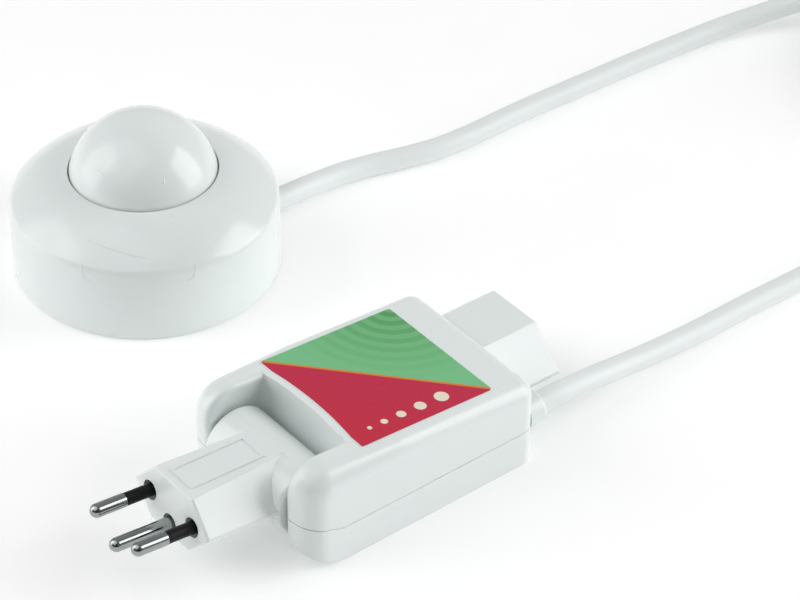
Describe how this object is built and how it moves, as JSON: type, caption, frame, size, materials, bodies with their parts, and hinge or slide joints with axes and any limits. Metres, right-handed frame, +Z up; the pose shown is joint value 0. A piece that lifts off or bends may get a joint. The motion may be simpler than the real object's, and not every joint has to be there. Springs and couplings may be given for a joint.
{
  "type": "plug-in dimmer",
  "caption": "Plug-in mains dimmer: housing with swivel three-pin plug and rear socket, and a coiled cord to a round foot control whose dome turns to dim and presses to switch.",
  "frame": {"origin": "middle of the housing's underside, between the fronts of its ears and its rear wall", "axes": "+X from the plug to the rear socket, +Y towards the foot control, +Z up"},
  "size_m": [0.4206, 0.1827, 0.0509],
  "materials": {
    "white_plastic": "satin moulded plastic",
    "cord_sheath": "smooth flexible sheath",
    "label_film": "printed film",
    "nickel": "nickel plate",
    "brass": "bare sheet and turned brass",
    "black_plastic": "matt moulded plastic",
    "green_board": "solder resist",
    "aluminium": "plain sheet",
    "iron_powder": "painted ring core",
    "copper_wire": "enamelled wire",
    "yellow_plastic": "moulded box",
    "blue_sleeve": "shrunk sleeve on a metal can",
    "green_plastic": "moulded block",
    "fuse_glass": "clear glass",
    "grey_washer": "fibre",
    "paper_tie": "paper-covered wire",
    "rubber_pad": "soft pad",
    "red_plastic": "moulded pin",
    "grey_plastic": "moulded ring",
    "pale_plastic": "moulded ring"
  },
  "bodies": {
    "dimmer": {"upper_shell": "white_plastic", "lower_shell": "white_plastic", "housing_screws": "nickel", "label": "label_film", "socket_face": "white_plastic", "socket_insert": "white_plastic", "line_contact": "brass", "neutral_contact": "brass", "earth_contact": "brass", "cord_gland": "white_plastic", "cord_tail": "cord_sheath", "cord_clamp": "white_plastic", "clamp_screw": "nickel", "circuit_board": "green_board", "heat_sink": "aluminium", "triac": "black_plastic", "choke_core": "iron_powder", "choke_winding": "copper_wire", "film_capacitor": "yellow_plastic", "bulk_capacitor": "blue_sleeve", "control_chip": "black_plastic", "terminal_block": "green_plastic", "fuse_tube": "fuse_glass", "fuse_caps": "nickel", "fuse_clips": "brass", "swivel_washers": "grey_washer", "cord_to_dimmer": "cord_sheath", "cord_coil": "cord_sheath", "coil_tie": "paper_tie", "cord_to_foot": "cord_sheath", "foot_cover": "white_plastic", "foot_base": "white_plastic", "foot_screws": "nickel", "foot_pads": "rubber_pad", "foot_board": "green_board", "board_screws": "nickel", "push_switch": "black_plastic", "pot_housing": "grey_plastic", "pot_track": "black_plastic", "foot_bush": "white_plastic", "foot_cord_tail": "cord_sheath", "foot_clamp": "white_plastic", "foot_clamp_screw": "nickel"},
    "plug": {"plug_body": "white_plastic", "pin_carrier": "black_plastic", "line_pin": "nickel", "neutral_pin": "nickel", "earth_pin": "nickel", "pin_sleeves": "black_plastic"},
    "dial": {"pot_rotor": "pale_plastic", "pot_wiper": "brass"},
    "button": {"foot_button": "white_plastic", "button_spring": "nickel", "switch_plunger": "red_plastic"}
  },
  "joints": [
    {"name": "plug_swivel", "type": "hinge", "parent": "dimmer", "child": "plug", "pos_m": [-0.0315, 0, 0.0154], "axis": [0, 1, 0], "range_deg": [-96.7, 83.3]},
    {"name": "dim_turn", "type": "hinge", "parent": "dimmer", "child": "dial", "pos_m": [0.0077, 0.115, 0], "axis": [0, 0, 1], "range_deg": [-135, 135]},
    {"name": "button_press", "type": "slide", "parent": "dial", "child": "button", "axis": [0, 0, -1], "range_m": [0, 0.003], "stiffness_N_per_m": 1500, "springref_m": -0.0008, "deforming": ["button_spring"]}
  ]
}
